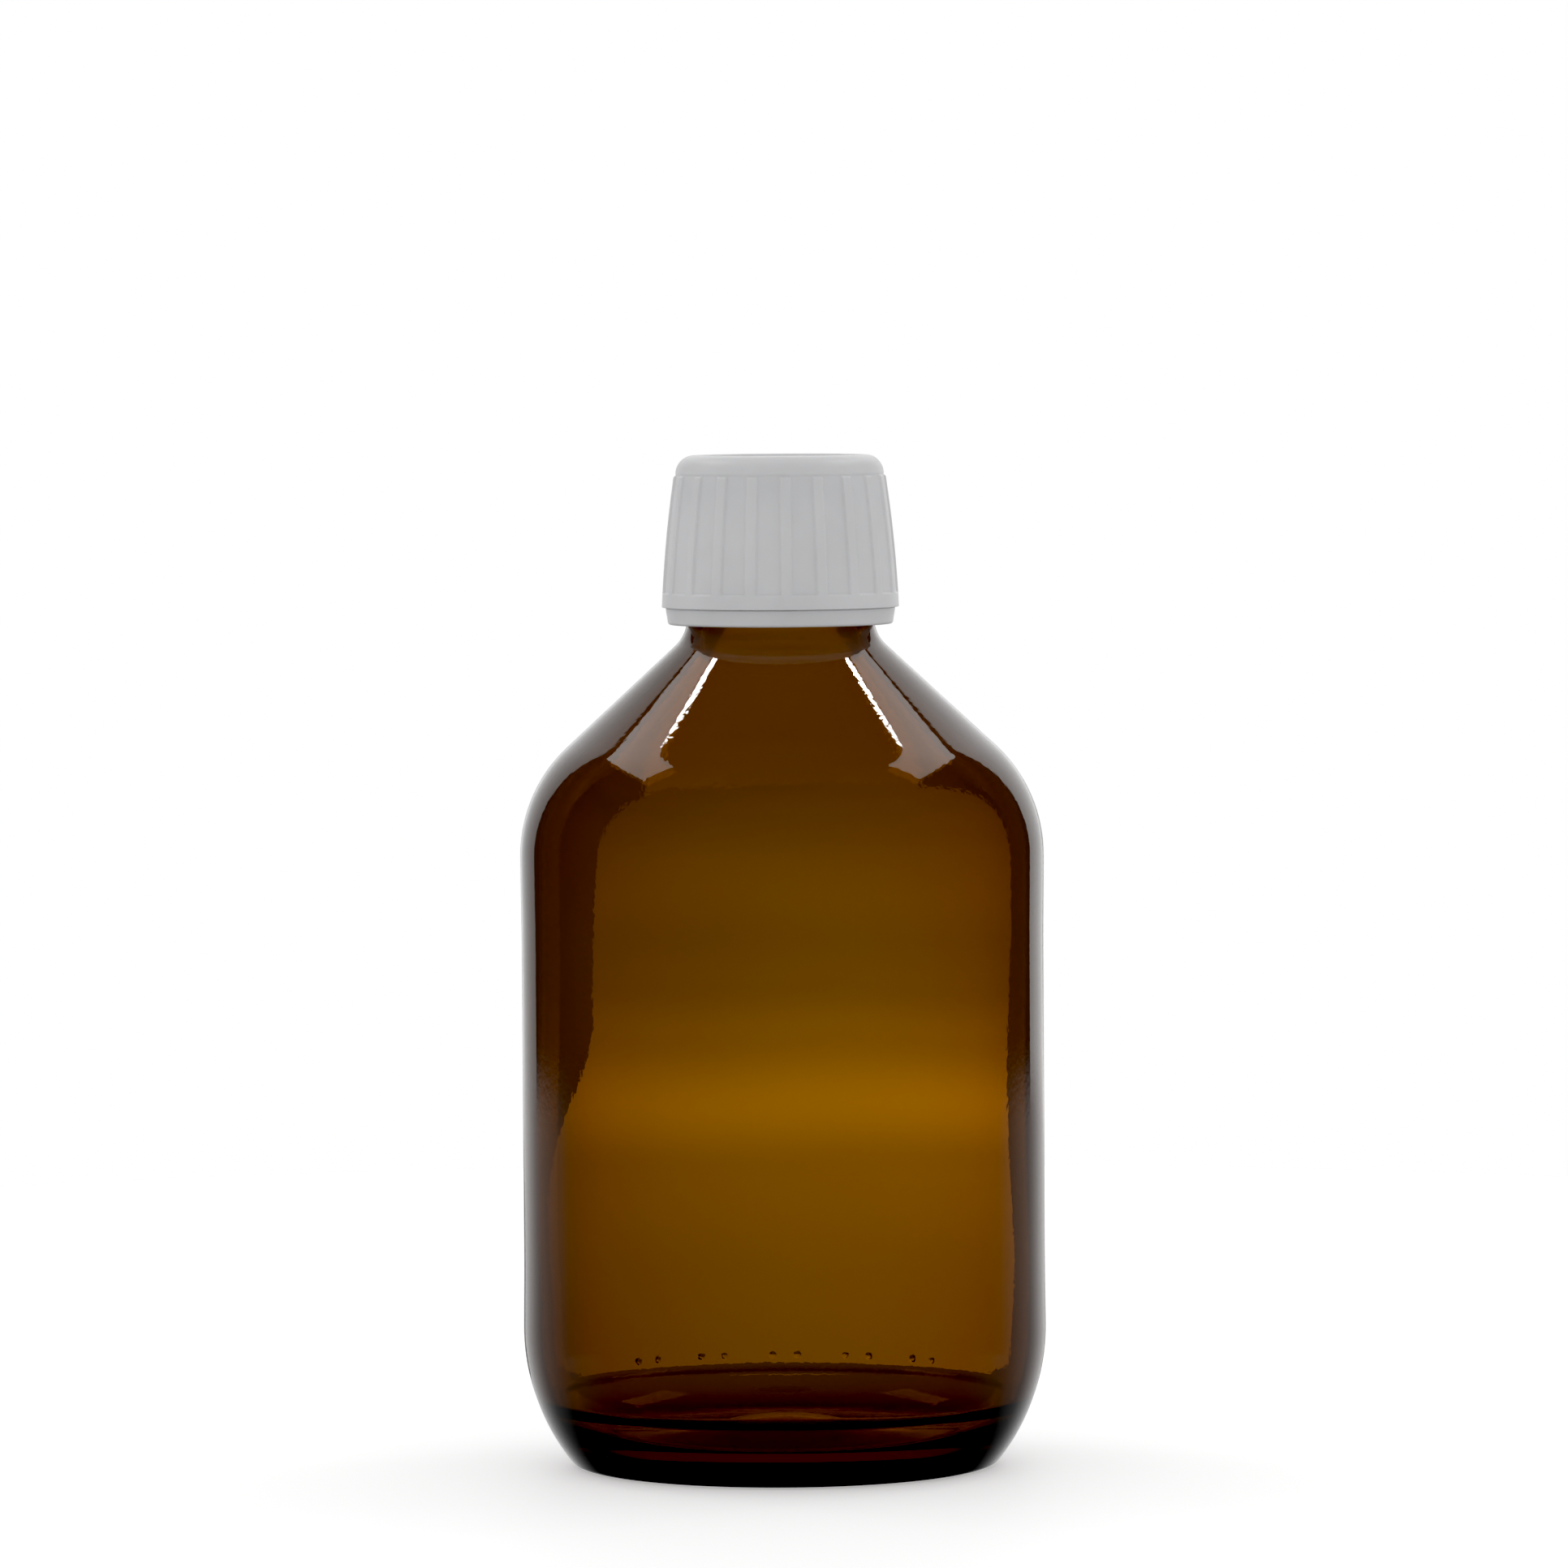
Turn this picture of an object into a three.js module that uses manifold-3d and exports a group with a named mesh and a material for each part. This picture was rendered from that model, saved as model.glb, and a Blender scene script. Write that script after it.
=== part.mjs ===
// A round amber glass medicine bottle with a 28 mm screw neck, a drip-free pouring ring, and a ribbed
// plastic screw cap over a tamper-evident band. Millimetres, +Z up, with the origin at the middle of
// the surface that the bottle stands on. The front is -Y.
import * as THREE from "three";
import { mergeVertices } from "three/addons/utils/BufferGeometryUtils.js";
import Module from "manifold-3d";

const wasm = await Module();
wasm.setup();

// Fineness of the turned surfaces.
const FACETS = 40;
const ARC_STEP = 10; // degrees of a large arc for each chord of an outline
const SMALL_ARC_STEP = 30; // and of a small one
const SMALL_RADIUS = 3;

// Bottle body. The two contact bands stand a little proud of the label panel between them.
const BODY_RADIUS = 35.15;
const PANEL_RADIUS = 35.05;
const PANEL_LOW = 22.9;
const PANEL_HIGH = 75.8;
const PANEL_STEP = 0.8; // height of the slope between a contact band and the panel
const WALL = 2.2;

// Heel and base.
const HEEL_RADIUS = 29;
const HEEL_TOP = 18.5;
const BASE_EDGE_RADIUS = 1.5;
const BEARING_INNER = 25.4; // inner radius of the flat ring that the bottle stands on
const PUSH_UP = 4; // rise of the underside to the middle
const FLOOR_HEIGHT = 3; // of the inside's lowest ring, between the floor's dome and its corner
const FLOOR_DOME = 3.5; // rise of the inside floor over the push-up
const FLOOR_CORNER_RADIUS = 9;

// Shoulder: an arc, then a cone, then a fillet into the neck.
const SHOULDER_START = 82.1;
const SHOULDER_RADIUS = 20;
const CONE_ANGLE = 47.2; // degrees between the cone and the axis
const NECK_RADIUS = 12.5;
const NECK_FILLET = 5;

// Neck finish. Its heights and the closure's are measured from the land, the neck's top face.
const LAND = 131.6;
const LAND_EDGE_RADIUS = 1;
const BORE_RADIUS = 9;
const BORE_DEPTH = 13; // below it the bore widens into the shoulder
const MOUTH_RADIUS = 0.5;
const ROOT_RADIUS = 12.35; // of the thread
const CREST_RADIUS = 13.35;
const THREAD_PITCH = 3;
const THREAD_TOP = -2; // middle of the thread's upper end
const THREAD_TURNS = 1.75;
const BEAD_RADIUS = 13.75; // transfer bead, which holds the tamper band down
const BEAD_ROUND = 0.9;
const BEAD_MIDDLE = -15.25;

// Cap. Its side is an arc, so that it is a slim barrel that narrows towards the top.
const CAP_TOP = 4.3;
const SKIRT_LOW = -16.1;
const BARREL_RADIUS = 170;
const BARREL_WIDEST = 16.1;
const BARREL_CENTRE = -23.5;
const PANEL_DEPTH = 0.35; // of the faces between the ribs
const RIB_COUNT = 20;
const RIB_WIDTH = 1.4;
const RIB_LOW = -14.3;
const RIB_TOP = 1.7;
const RIB_PHASE = 3; // degrees that the front rib sits to the right of the middle
const CAP_CORNER_RADIUS = 2.5;
const CAP_CORNER_CENTRE = 11.5;
const RECESS_RADIUS = 11;
const RECESS_DEPTH = 0.3;
const CEILING = 2.5;
const CAP_BORE_RADIUS = 13.7;
const CAP_THREAD_RADIUS = 12.75; // inner radius of the cap's thread
const CAP_THREAD_TOP = -5;
const CAP_THREAD_TURNS = 1.4;
const SKIRT_BORE_RADIUS = 14.4; // clears the transfer bead

// Tamper band.
const BAND_TOP = -16.45;
const BAND_LOW = -18.4;
const BAND_RADIUS_TOP = 15.43;
const BAND_RADIUS_LOW = 15.16;
const BAND_BORE_RADIUS = 14.3;
const HOOK_RADIUS = 12.95; // inner radius of the hook under the transfer bead
const BRIDGE_COUNT = 10;

// Sealing pieces.
const RING_FLANGE_RADIUS = 11.6;
const RING_FLANGE_TOP = 1.1;
const RING_PLUG_RADIUS = 8.72;
const RING_PLUG_DEPTH = 7.7;
const RING_THROAT_RADIUS = 5.5;
const LINER_RADIUS = 12.7;
const LINER_LOW = 1.25;
const LINER_TOP = 2.4;

const point = (radius, height) => new THREE.Vector2(radius, height);

const radians = THREE.MathUtils.degToRad;

// Points of an outline's arc between two angles in degrees, with both ends.
function arc(centreRadius, centreHeight, radius, from, to) {
  const step = radius > SMALL_RADIUS ? ARC_STEP : SMALL_ARC_STEP;
  const steps = Math.max(2, Math.ceil(Math.abs(to - from) / step));
  return Array.from({ length: steps + 1 }, (_, i) => {
    const angle = radians(from + ((to - from) * i) / steps);
    const across = centreRadius + radius * Math.cos(angle);
    return point(across, centreHeight + radius * Math.sin(angle));
  });
}

// A closed geometry as a solid that can be joined and cut.
function solid(geometry) {
  const bare = geometry.clone();
  bare.deleteAttribute("normal");
  bare.deleteAttribute("uv");
  const merged = mergeVertices(bare, 1e-4);
  const mesh = new wasm.Mesh({
    numProp: 3,
    vertProperties: new Float32Array(merged.attributes.position.array),
    triVerts: new Uint32Array(merged.index.array),
  });
  return new wasm.Manifold(mesh);
}

// Turns an outline about the Z axis. The outline runs with the material on its left.
function turned(outline) {
  return solid(new THREE.LatheGeometry(outline, FACETS).rotateX(Math.PI / 2));
}

// A helical ridge. The section's x is a radius and its y a height; the ridge runs down and clockwise
// from its upper end, and at both ends its crest runs out to the foot's radius.
function helicalRidge(section, footRadius, topHeight, topAngle, turns) {
  const stepsPerTurn = 40;
  const runOut = 0.5; // radians
  const length = turns * 2 * Math.PI;
  const geometry = new THREE.ExtrudeGeometry(section, {
    depth: length,
    steps: Math.round(turns * stepsPerTurn),
    bevelEnabled: false,
  });
  const vertices = geometry.attributes.position;
  for (let i = 0; i < vertices.count; i++) {
    const along = vertices.getZ(i);
    const rise = Math.min(1, Math.min(along, length - along) / runOut);
    const radius = footRadius + (vertices.getX(i) - footRadius) * rise;
    const angle = topAngle - along;
    const height = topHeight + vertices.getY(i) - (THREAD_PITCH * along) / (2 * Math.PI);
    vertices.setXYZ(i, radius * Math.cos(angle), radius * Math.sin(angle), height);
  }
  return solid(geometry);
}

// A trapezium for a thread's section, from the foot to the crest.
function threadSection(footRadius, crestRadius, footHeight, crestHeight) {
  return new THREE.Shape([
    point(footRadius, -footHeight / 2),
    point(crestRadius, -crestHeight / 2),
    point(crestRadius, crestHeight / 2),
    point(footRadius, footHeight / 2),
  ]);
}

// Points of a dome on the axis, from the middle out to where it meets the level at its edge.
function dome(edge, foot, rise) {
  const steps = 4;
  return Array.from({ length: steps + 1 }, (_, i) => {
    const share = i / steps;
    return point(edge * share, foot + rise * Math.cos((Math.PI / 2) * share) ** 2);
  });
}

// The glass from the middle of the base, up the outside, over the land and down the inside.
function bottleOutline() {
  const heelCentre = BODY_RADIUS - HEEL_RADIUS;
  const edgeReach = HEEL_RADIUS - BASE_EDGE_RADIUS;
  const edgeDrop = HEEL_TOP - BASE_EDGE_RADIUS;
  const edgeCentre = heelCentre + Math.sqrt(edgeReach ** 2 - edgeDrop ** 2);
  const edgeAngle = -THREE.MathUtils.radToDeg(Math.asin(edgeDrop / edgeReach));
  const shoulderCentre = BODY_RADIUS - SHOULDER_RADIUS;
  const filletCentre = NECK_RADIUS + NECK_FILLET;
  const coneRun = shoulderCentre - filletCentre
    + (SHOULDER_RADIUS + NECK_FILLET) * Math.cos(radians(CONE_ANGLE));
  const filletHeight = SHOULDER_START
    + (SHOULDER_RADIUS + NECK_FILLET) * Math.sin(radians(CONE_ANGLE))
    + coneRun / Math.tan(radians(CONE_ANGLE));
  const cornerReach = HEEL_RADIUS - WALL - FLOOR_CORNER_RADIUS;
  const cornerHeight = FLOOR_HEIGHT + FLOOR_CORNER_RADIUS;
  const cornerDrop = HEEL_TOP - cornerHeight;
  const floorEdge = heelCentre + Math.sqrt(cornerReach ** 2 - cornerDrop ** 2);
  const wallEnd = -THREE.MathUtils.radToDeg(Math.asin(cornerDrop / cornerReach));
  return [
    ...dome(BEARING_INNER, 0, PUSH_UP),
    ...arc(edgeCentre, BASE_EDGE_RADIUS, BASE_EDGE_RADIUS, -90, edgeAngle),
    ...arc(heelCentre, HEEL_TOP, HEEL_RADIUS, edgeAngle + 5, 0),
    point(BODY_RADIUS, PANEL_LOW - PANEL_STEP),
    point(PANEL_RADIUS, PANEL_LOW),
    point(PANEL_RADIUS, PANEL_HIGH),
    point(BODY_RADIUS, PANEL_HIGH + PANEL_STEP),
    ...arc(shoulderCentre, SHOULDER_START, SHOULDER_RADIUS, 0, CONE_ANGLE),
    ...arc(filletCentre, filletHeight, NECK_FILLET, 180 + CONE_ANGLE, 180),
    point(NECK_RADIUS, LAND + BEAD_MIDDLE - BEAD_ROUND - 0.25),
    ...arc(BEAD_RADIUS - BEAD_ROUND, LAND + BEAD_MIDDLE, BEAD_ROUND, -75, 60),
    point(ROOT_RADIUS, LAND + BEAD_MIDDLE + 1.6),
    ...arc(ROOT_RADIUS - LAND_EDGE_RADIUS, LAND - LAND_EDGE_RADIUS, LAND_EDGE_RADIUS, 0, 90),
    ...arc(BORE_RADIUS + MOUTH_RADIUS, LAND - MOUTH_RADIUS, MOUTH_RADIUS, 90, 180),
    point(BORE_RADIUS, LAND - BORE_DEPTH),
    ...arc(filletCentre, filletHeight, NECK_FILLET + WALL, 180, 180 + CONE_ANGLE),
    ...arc(shoulderCentre, SHOULDER_START, SHOULDER_RADIUS - WALL, CONE_ANGLE, 0),
    ...arc(heelCentre, HEEL_TOP, HEEL_RADIUS - WALL, 0, wallEnd),
    ...arc(floorEdge, cornerHeight, FLOOR_CORNER_RADIUS, wallEnd, -90).slice(1, -1),
    ...dome(floorEdge, FLOOR_HEIGHT, FLOOR_DOME).reverse(),
  ];
}

function bottle() {
  const section = threadSection(ROOT_RADIUS - 0.3, CREST_RADIUS, 1.6, 0.6);
  const footRadius = ROOT_RADIUS - 0.2;
  const thread = helicalRidge(section, footRadius, LAND + THREAD_TOP, 0, THREAD_TURNS);
  return turned(bottleOutline()).add(thread);
}

// The ring's outline from the tip of its plug, up the outside, over the flange and down the funnel.
function pourRing() {
  const sealingRib = (height) => [
    point(RING_PLUG_RADIUS, height - 0.5),
    point(RING_PLUG_RADIUS + 0.18, height),
    point(RING_PLUG_RADIUS, height + 0.5),
  ];
  const edge = 0.3;
  const lift = 0.05; // clearance over the land
  const plugInside = RING_PLUG_RADIUS - 0.8;
  return turned([
    point(plugInside, -RING_PLUG_DEPTH),
    point(RING_PLUG_RADIUS - edge, -RING_PLUG_DEPTH),
    point(RING_PLUG_RADIUS, -RING_PLUG_DEPTH + 0.9),
    ...sealingRib(-5.4),
    ...sealingRib(-3.2),
    point(RING_PLUG_RADIUS, lift),
    point(RING_FLANGE_RADIUS - edge, lift),
    point(RING_FLANGE_RADIUS, lift + edge),
    point(RING_FLANGE_RADIUS, RING_FLANGE_TOP - edge),
    point(RING_FLANGE_RADIUS - edge, RING_FLANGE_TOP),
    point(RING_PLUG_RADIUS - edge, RING_FLANGE_TOP),
    point(RING_THROAT_RADIUS + 0.1, -1.8),
    point(RING_THROAT_RADIUS, -3.4),
    point(RING_THROAT_RADIUS + 0.5, -3.6),
    point(RING_THROAT_RADIUS + 0.8, -2.4),
    point(plugInside, -1),
    point(plugInside, -RING_PLUG_DEPTH),
  ]);
}

// Radius of the cap's side, over the ribs, at a height.
function barrelRadius(height) {
  const fall = Math.sqrt(BARREL_RADIUS ** 2 - (height - BARREL_CENTRE) ** 2);
  return BARREL_WIDEST - BARREL_RADIUS + fall;
}

// Points up the cap's side between two heights, a given depth under the barrel's surface.
function barrelSide(low, high, depth) {
  const steps = 5;
  return Array.from({ length: steps + 1 }, (_, i) => {
    const height = low + ((high - low) * i) / steps;
    return point(barrelRadius(height) - depth, height);
  });
}

// The cap without ribs and thread: out along the ceiling, down the bore, up the side, over the top.
function capOutline() {
  const cornerHeight = CAP_TOP - CAP_CORNER_RADIUS;
  const ledge = 0.15;
  return [
    point(0, CEILING),
    point(LINER_RADIUS + 0.25, CEILING),
    point(LINER_RADIUS + 0.4, CEILING - 1.2),
    point(CAP_BORE_RADIUS, 0.2),
    point(CAP_BORE_RADIUS, SKIRT_LOW + 3.5),
    point(SKIRT_BORE_RADIUS, SKIRT_LOW + 2.7),
    point(SKIRT_BORE_RADIUS, SKIRT_LOW + 1),
    point(SKIRT_BORE_RADIUS + 0.75, SKIRT_LOW),
    point(barrelRadius(SKIRT_LOW) - 0.2, SKIRT_LOW),
    point(barrelRadius(SKIRT_LOW + 0.2), SKIRT_LOW + 0.2),
    point(barrelRadius(RIB_LOW), RIB_LOW),
    ...barrelSide(RIB_LOW + ledge, RIB_TOP - 0.1, PANEL_DEPTH),
    ...arc(CAP_CORNER_CENTRE, cornerHeight, CAP_CORNER_RADIUS, 0, 90),
    point(RECESS_RADIUS, CAP_TOP),
    point(RECESS_RADIUS - RECESS_DEPTH, CAP_TOP - RECESS_DEPTH),
    point(0, CAP_TOP - RECESS_DEPTH),
  ];
}

// One rib, as a plate that stands through the cap's wall, at an angle in degrees.
function rib(angle) {
  const root = PANEL_DEPTH + 0.2;
  const outline = [
    ...barrelSide(RIB_LOW - 0.1, RIB_TOP, 0),
    ...barrelSide(RIB_LOW - 0.1, RIB_TOP, root).reverse(),
  ];
  const plate = new THREE.ExtrudeGeometry(new THREE.Shape(outline), {
    depth: RIB_WIDTH,
    bevelEnabled: false,
  });
  plate.translate(0, 0, -RIB_WIDTH / 2);
  plate.rotateX(Math.PI / 2);
  plate.rotateZ(radians(angle));
  return solid(plate);
}

function capShell() {
  let shell = turned(capOutline());
  for (let i = 0; i < RIB_COUNT; i++) {
    shell = shell.add(rib(-90 + RIB_PHASE + (360 * i) / RIB_COUNT));
  }
  const footRadius = CAP_BORE_RADIUS + 0.15;
  const section = threadSection(footRadius + 0.1, CAP_THREAD_RADIUS, 1.3, 0.5);
  // The cap's thread lies half a pitch below the bottle's, which starts at angle 0.
  const turnsBelow = (THREAD_TOP - CAP_THREAD_TOP) / THREAD_PITCH - 0.5;
  const topAngle = -turnsBelow * 2 * Math.PI;
  return shell.add(
    helicalRidge(section, footRadius, CAP_THREAD_TOP, topAngle, CAP_THREAD_TURNS),
  );
}

function sealLiner() {
  return turned([
    point(0, LINER_LOW),
    point(LINER_RADIUS, LINER_LOW),
    point(LINER_RADIUS, LINER_TOP),
    point(0, LINER_TOP),
  ]);
}

// The band with its hook, and the stubs of the bridges that join it to the cap until first opening.
function tamperBand() {
  const edge = 0.42;
  const hookTop = BAND_TOP - 0.35;
  const ring = turned([
    point(BAND_BORE_RADIUS - 0.4, BAND_LOW),
    ...arc(BAND_RADIUS_LOW - edge, BAND_LOW + edge, edge, -90, 0),
    point(BAND_RADIUS_TOP, BAND_TOP - 0.2),
    point(BAND_RADIUS_TOP - 0.2, BAND_TOP),
    point(BAND_BORE_RADIUS, BAND_TOP),
    point(BAND_BORE_RADIUS, hookTop),
    point(HOOK_RADIUS, hookTop),
    point(HOOK_RADIUS, hookTop - 0.3),
    point(BAND_BORE_RADIUS - 0.4, BAND_LOW),
  ]);
  const stub = new THREE.BoxGeometry(0.5, 0.8, 0.5);
  stub.translate(BAND_BORE_RADIUS + 0.4, 0, BAND_TOP + 0.05);
  let band = ring;
  for (let i = 0; i < BRIDGE_COUNT; i++) {
    band = band.add(solid(stub.clone().rotateZ((2 * Math.PI * i) / BRIDGE_COUNT)));
  }
  return band;
}

function named(name, body, colour, roughness) {
  const { vertProperties, triVerts } = body.getMesh();
  const geometry = new THREE.BufferGeometry();
  geometry.setAttribute("position", new THREE.BufferAttribute(vertProperties, 3));
  geometry.setIndex(new THREE.BufferAttribute(triVerts, 1));
  geometry.computeVertexNormals();
  const material = new THREE.MeshStandardMaterial({ color: colour, roughness, metalness: 0 });
  const mesh = new THREE.Mesh(geometry, material);
  mesh.name = name;
  return mesh;
}

const closure = new THREE.Group();
closure.position.z = LAND;
closure.add(
  named("pour_ring", pourRing(), 0xeeece6, 0.45),
  named("seal_liner", sealLiner(), 0xe4e4e0, 0.7),
  named("cap_shell", capShell(), 0xd4d4d6, 0.4),
  named("tamper_band", tamperBand(), 0xd4d4d6, 0.4),
);

const assembly = new THREE.Group();
assembly.add(named("bottle", bottle(), 0x6b3e05, 0.06), closure);

export default assembly;
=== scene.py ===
import math
import bpy
import bmesh
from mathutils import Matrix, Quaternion, Vector


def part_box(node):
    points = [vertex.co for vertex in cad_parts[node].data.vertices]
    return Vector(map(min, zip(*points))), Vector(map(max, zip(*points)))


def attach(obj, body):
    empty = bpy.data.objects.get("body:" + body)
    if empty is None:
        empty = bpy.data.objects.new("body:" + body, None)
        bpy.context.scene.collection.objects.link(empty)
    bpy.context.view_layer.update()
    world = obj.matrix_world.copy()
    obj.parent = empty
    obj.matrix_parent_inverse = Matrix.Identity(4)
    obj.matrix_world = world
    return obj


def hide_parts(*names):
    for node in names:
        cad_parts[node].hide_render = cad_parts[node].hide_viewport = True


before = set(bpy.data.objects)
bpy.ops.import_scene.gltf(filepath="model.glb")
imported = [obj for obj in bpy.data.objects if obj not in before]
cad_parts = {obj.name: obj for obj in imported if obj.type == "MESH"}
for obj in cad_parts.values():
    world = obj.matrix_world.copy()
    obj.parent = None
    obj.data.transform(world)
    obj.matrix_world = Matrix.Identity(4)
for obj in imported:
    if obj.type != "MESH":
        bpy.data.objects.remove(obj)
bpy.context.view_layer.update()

MM = 0.001

# Sizes are in millimetres and angles in degrees, read from the frame where it holds them.
BOTTLE_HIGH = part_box("bottle")[1] / MM
CAP_LOW, CAP_HIGH = (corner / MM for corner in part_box("cap_shell"))
BAND_LOW, BAND_HIGH = (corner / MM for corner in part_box("tamper_band"))
RING_LOW, RING_HIGH = (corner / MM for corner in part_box("pour_ring"))
LINER_LOW, LINER_HIGH = (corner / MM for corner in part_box("seal_liner"))

# Glass body.
BODY_RADIUS = BOTTLE_HIGH.x
PANEL_RECESS = 0.1  # depth of the label panel between the two contact bands
PANEL_SPAN = (22.9, 75.8)
PANEL_BLEND = 6.0  # half the height over which the recess sets in
WALL = 2.2
UNEVEN = 0.05  # how far the inside of the blown glass waves in and out
HEEL_RADIUS = 29.0
HEEL_TOP = 18.5
BASE_EDGE = 1.5
BEARING_INNER = 25.4  # inner radius of the ring that the bottle stands on
PUSH_UP = 4.0
FLOOR_HEIGHT = 3.0  # of the lowest ring of the inside, round its dome
FLOOR_DOME = 3.5
FLOOR_CORNER = 9.0
SHOULDER_START = 82.1
SHOULDER_RADIUS = 20.0
CONE_ANGLE = 47.2
NECK_RADIUS = 12.5
NECK_FILLET = 5.0

# Neck finish: heights are measured from the land, the neck's top face.
LAND = BOTTLE_HIGH.z
LAND_EDGE = 1.0
BORE_RADIUS = 9.0
BORE_DEPTH = 13.0
MOUTH_EDGE = 0.5
ROOT_RADIUS = 12.35  # of the neck between the thread's turns
THREAD_HEIGHT = 1.0
THREAD_PITCH = 3.0
THREAD_TOP = LAND - 2.0
THREAD_TURNS = 1.75
THREAD_FOOT = 1.6  # width of the thread where it leaves the neck
THREAD_CREST = 0.6  # and at its top
RUN_OUT = 30.0  # angle over which a thread's ends fade
BEAD_RADIUS = 13.75  # of the transfer bead, which holds the band down
BEAD_ROUND = 0.9
BEAD_HEIGHT = LAND - 15.25
BEAD_TOP = BEAD_HEIGHT + 1.7

# Moulding details of the glass: two side seams, and low dots on the back of the heel.
SEAM_HEIGHT = 0.07
SEAM_WIDTH = 0.35
SEAM_FOOT = 1.0  # height where the seams start
DOT_HEIGHT = 10.2  # of the row above the ground
DOT_PITCH = 6.0
DOT_RADIUS = 0.55
DOT_RISE = 0.3
DOT_SLOTS = 14  # every third one stays empty

# Cap. Its side is an arc, so that it is a slim barrel.
BARREL_RADIUS = 170.0
BARREL_HEIGHT = LAND - 23.5
BARREL_WIDEST = 16.1
RIB_COUNT = 20
RIB_WIDTH = 1.5
RIB_EDGE = 0.16  # half the width of the slope at a rib's side
RIB_LOW = LAND - 14.3
RIB_TOP = LAND + 1.7
RIB_PHASE = 3.0  # angle of the rib nearest to the front, to its right
RIB_DEPTH = 0.3
RIB_SLOPE = 0.35  # height of the slope at a rib's ends
CAP_CORNER = 2.5
CAP_CORNER_CENTRE = 11.5
RECESS_RADIUS = 11.0  # of the sunk middle of the cap's top
RECESS_DEPTH = 0.3
GATE_RADIUS = 1.2  # of the mark that moulding leaves in the middle
GATE_DEPTH = 0.16
CEILING = LAND + 2.5
CAP_BORE = 13.7
CAP_THREAD_HEIGHT = 0.95
CAP_THREAD_TOP = LAND - 5.0
CAP_THREAD_TURNS = 1.4
CAP_THREAD_FOOT = 1.4
CAP_THREAD_CREST = 0.5
SKIRT_BORE = 14.4
SKIRT_STEP = CAP_LOW.z + 3.6  # height where the bore widens to the skirt's
SKIRT_EDGE = 0.12

# Tamper band.
BAND_TOP = CAP_LOW.z - 0.05
BAND_BORE = 14.3
BAND_FOOT_RADIUS = 15.16
BAND_FOOT_EDGE = 0.42
BAND_TOP_EDGE = 0.12
HOOK_RADIUS = 12.95  # of the inner lip that catches under the bead
HOOK_TOP = BAND_TOP - 0.35

# Camera: its place and aim are in metres.
CAMERA_PLACE = (0.00033, -1.25, 0.155)
CAMERA_AIM = (0.00033, 0, 0.09164)
CAMERA_ROLL = -0.36
LENS = 213.6
SENSOR = 36.0


def smooth_step(low, high, value):
    """0 below low, 1 above high, with a smooth rise between."""
    t = min(1.0, max(0.0, (value - low) / (high - low)))
    return t * t * (3 - 2 * t)


def arc(centre, radius, start, end, step=3.0):
    """Points (radius, height) of an arc between two angles in degrees, ends included."""
    count = max(3, math.ceil(abs(end - start) / step))
    angles = [math.radians(start + (end - start) * i / count) for i in range(count + 1)]
    return [(centre[0] + radius * math.cos(a), centre[1] + radius * math.sin(a)) for a in angles]


def refined(points, longest, span=None, finest=None):
    """The outline with its long stretches divided, more finely within a span of heights."""
    out = [points[0]]
    for (r0, z0), (r1, z1) in zip(points, points[1:]):
        inside = span and span[0] <= (z0 + z1) / 2 <= span[1]
        limit = finest if inside else longest
        count = max(1, math.ceil(math.hypot(r1 - r0, z1 - z0) / limit))
        out += [(r0 + (r1 - r0) * i / count, z0 + (z1 - z0) * i / count)
                for i in range(1, count + 1)]
    return out


def even_columns(count):
    """Angles that divide the full circle evenly."""
    return [360.0 * i / count for i in range(count)]


def revolved(name, outline, columns, shift=None, closed=False):
    """A mesh turned about Z from an outline of (radius, height), with columns at given angles.

    An open outline starts and ends on the axis. shift(radius, height, angle, row) is how far a
    point moves outwards.
    """
    mesh = bmesh.new()
    rings = []
    for row, (radius, height) in enumerate(outline):
        if radius < 1e-6:
            rings.append([mesh.verts.new((0, 0, height * MM))])
            continue
        ring = []
        for degrees in columns:
            angle = math.radians(degrees)
            r = radius + (shift(radius, height, degrees, row) if shift else 0.0)
            ring.append(mesh.verts.new((r * MM * math.cos(angle), r * MM * math.sin(angle),
                                        height * MM)))
        rings.append(ring)
    pairs = list(zip(rings, rings[1:]))
    if closed:
        pairs.append((rings[-1], rings[0]))
    count = len(columns)
    for lower, upper in pairs:
        for i in range(count):
            j = (i + 1) % count
            if len(lower) == 1:
                mesh.faces.new((lower[0], upper[j], upper[i]))
            elif len(upper) == 1:
                mesh.faces.new((lower[i], lower[j], upper[0]))
            else:
                mesh.faces.new((lower[i], lower[j], upper[j], upper[i]))
    return finished(name, mesh)


def finished(name, mesh):
    """Turns a bmesh into a smooth-shaded object in the scene."""
    bmesh.ops.recalc_face_normals(mesh, faces=mesh.faces)
    data = bpy.data.meshes.new(name)
    mesh.to_mesh(data)
    mesh.free()
    data.shade_smooth()
    obj = bpy.data.objects.new(name, data)
    bpy.context.scene.collection.objects.link(obj)
    return obj


def thread_rise(height, degrees, top, turns, foot, crest):
    """How far up its flank, from 0 to 1, a right-hand thread that runs down from angle 0 is."""
    best = 0.0
    for turn in range(math.ceil(turns) + 1):
        along = turn * 360.0 - degrees % 360.0
        if not 0 <= along <= turns * 360.0:
            continue
        away = abs(height - (top - THREAD_PITCH * along / 360.0))
        flank = 1 - smooth_step(crest / 2, foot / 2, away)
        left = turns * 360.0 - along
        run_out = smooth_step(0, RUN_OUT, along) * smooth_step(0, RUN_OUT, left)
        best = max(best, flank * run_out)
    return best


# ---- glass bottle ----

def domed(share, reach, foot, rise):
    """A point of a dome that meets the level at its edge, a share of the way out."""
    return (reach * share, foot + rise * math.cos(math.pi / 2 * share) ** 2)


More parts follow.
